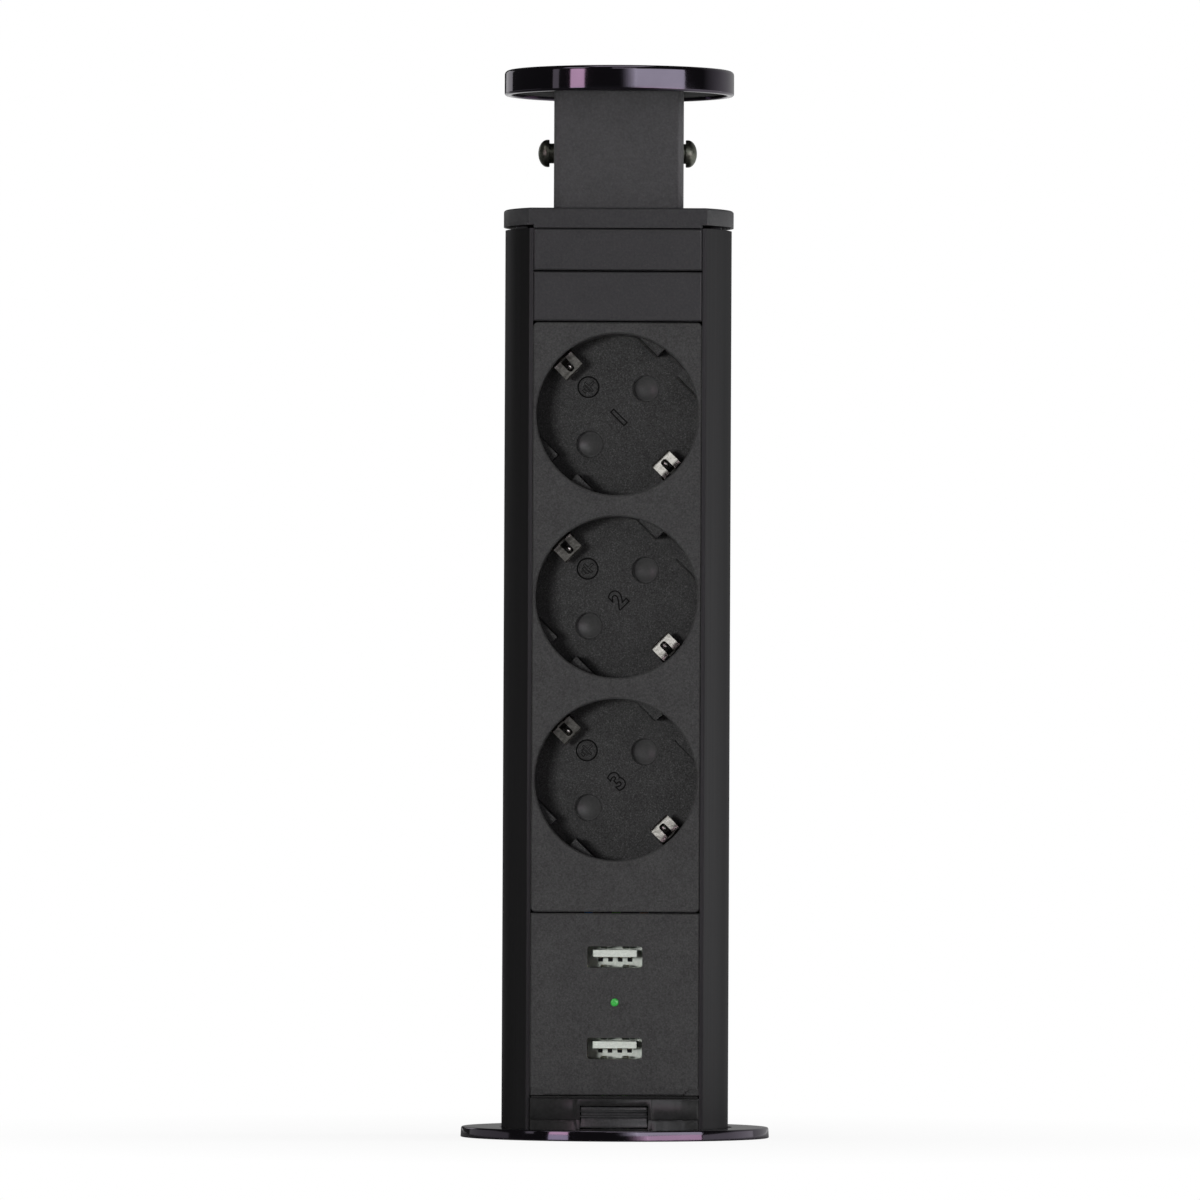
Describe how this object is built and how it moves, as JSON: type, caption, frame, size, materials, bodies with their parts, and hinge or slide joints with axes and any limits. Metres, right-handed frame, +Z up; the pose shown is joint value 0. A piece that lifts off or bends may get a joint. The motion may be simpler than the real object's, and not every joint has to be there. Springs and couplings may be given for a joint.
{
  "type": "pop up desk socket",
  "caption": "Pop up desk socket: a round tower with earthed wells and charging ports slides up out of a clamped desk flange under a flush lid.",
  "frame": {"origin": "on the desk's surface, at the middle of the hole", "axes": "+Z up out of the desk, -Y towards the front with the sockets, +X to the right"},
  "size_m": [0.078, 0.078, 0.3241],
  "materials": {
    "mirror_metal": "dark nickel plated and polished, with a faint violet tint",
    "casing_metal": "extruded, black anodised, satin",
    "face_plastic": "moulded, finely eroded texture",
    "well_plastic": "moulded, finely eroded texture",
    "foot_plastic": "moulded, smooth satin",
    "neck_plastic": "moulded, fine satin",
    "pin_steel": "satin zinc plated",
    "insert_plastic": "moulded",
    "earth_metal": "nickel plated strip",
    "contact_brass": "bare strip",
    "usb_steel": "folded tinned strip",
    "usb_white": "moulded, white",
    "usb_gold": "plated contacts",
    "led_green": "clear green light pipe",
    "screw_steel": "black zinc plated",
    "spring_steel": "drawn wire",
    "carrier_plastic": "moulded, heat resistant",
    "board_green": "laminated board, solder mask",
    "component_black": "moulded",
    "lead_brown": "soft insulation",
    "lead_blue": "soft insulation",
    "lead_green": "soft insulation",
    "mount_plastic": "moulded, reinforced"
  },
  "bodies": {
    "desk_mount": {"flange_ring": "mirror_metal", "mount_sleeve": "mount_plastic"},
    "tower": {"side_rail_left": "casing_metal", "side_rail_right": "casing_metal", "rear_cover": "casing_metal", "blank_cover_upper": "face_plastic", "blank_cover_lower": "face_plastic", "socket_face": "face_plastic", "socket_well_1": "well_plastic", "socket_well_2": "well_plastic", "socket_well_3": "well_plastic", "shutter_spring_1": "spring_steel", "shutter_spring_2": "spring_steel", "shutter_spring_3": "spring_steel", "earth_clips": "earth_metal", "earth_bar": "contact_brass", "contact_carrier": "carrier_plastic", "carrier_screws": "screw_steel", "line_bus": "contact_brass", "neutral_bus": "contact_brass", "line_lead": "lead_brown", "neutral_lead": "lead_blue", "earth_lead": "lead_green", "usb_front": "face_plastic", "usb_shell_1": "usb_steel", "usb_tongue_1": "usb_white", "usb_contacts_1": "usb_gold", "usb_shell_2": "usb_steel", "usb_tongue_2": "usb_white", "usb_contacts_2": "usb_gold", "led_lens": "led_green", "usb_board": "board_green", "board_screws": "screw_steel", "transformer": "component_black", "capacitors": "component_black", "charge_chip": "component_black", "foot_block": "foot_plastic", "foot_base": "foot_plastic", "latch_spring": "spring_steel", "top_plate": "neck_plastic", "casing_screws": "screw_steel", "neck": "neck_plastic", "neck_screws": "screw_steel", "cross_pin": "pin_steel", "lid_cap": "mirror_metal", "lid_insert": "insert_plastic", "tail_cap": "mount_plastic", "tail_screws": "screw_steel", "cord_gland": "mount_plastic", "gland_nut": "mount_plastic", "terminal_block": "carrier_plastic", "feed_leads": "lead_green"},
    "release_latch": {"release_button": "foot_plastic"},
    "shutter_top": {"shutter_1": "well_plastic"},
    "shutter_middle": {"shutter_2": "well_plastic"},
    "shutter_bottom": {"shutter_3": "well_plastic"},
    "washer": {"clamp_washer": "mount_plastic"},
    "nut": {"clamp_nut": "mount_plastic"}
  },
  "joints": [
    {"name": "tower_slide", "type": "slide", "parent": "desk_mount", "child": "tower", "axis": [0, 0, 1], "range_m": [-0.2533, 0]},
    {"name": "latch_press", "type": "slide", "parent": "tower", "child": "release_latch", "axis": [0, 1, 0], "range_m": [0, 0.003], "stiffness_N_per_m": 600, "springref_m": -0.002, "deforming": ["latch_spring"]},
    {"name": "shutter_top_slide", "type": "slide", "parent": "tower", "child": "shutter_top", "axis": [0, 0, -1], "range_m": [0, 0.0063], "stiffness_N_per_m": 60, "springref_m": -0.002, "deforming": ["shutter_spring_1"]},
    {"name": "shutter_middle_slide", "type": "slide", "parent": "tower", "child": "shutter_middle", "axis": [0, 0, -1], "range_m": [0, 0.0063], "stiffness_N_per_m": 60, "springref_m": -0.002, "deforming": ["shutter_spring_2"]},
    {"name": "shutter_bottom_slide", "type": "slide", "parent": "tower", "child": "shutter_bottom", "axis": [0, 0, -1], "range_m": [0, 0.0063], "stiffness_N_per_m": 60, "springref_m": -0.002, "deforming": ["shutter_spring_3"]},
    {"name": "washer_slide", "type": "slide", "parent": "desk_mount", "child": "washer", "axis": [0, 0, 1], "range_m": [-0.013, 0.013]},
    {"name": "nut_turn", "type": "hinge", "parent": "washer", "child": "nut", "pos_m": [0, 0, -0.0313], "axis": [0, 0, 1], "range_deg": [-1560, 1560]}
  ],
  "couplings": [
    {"joint": "washer_slide", "follows": "nut_turn", "m_per_rad": 0.00047746}
  ]
}
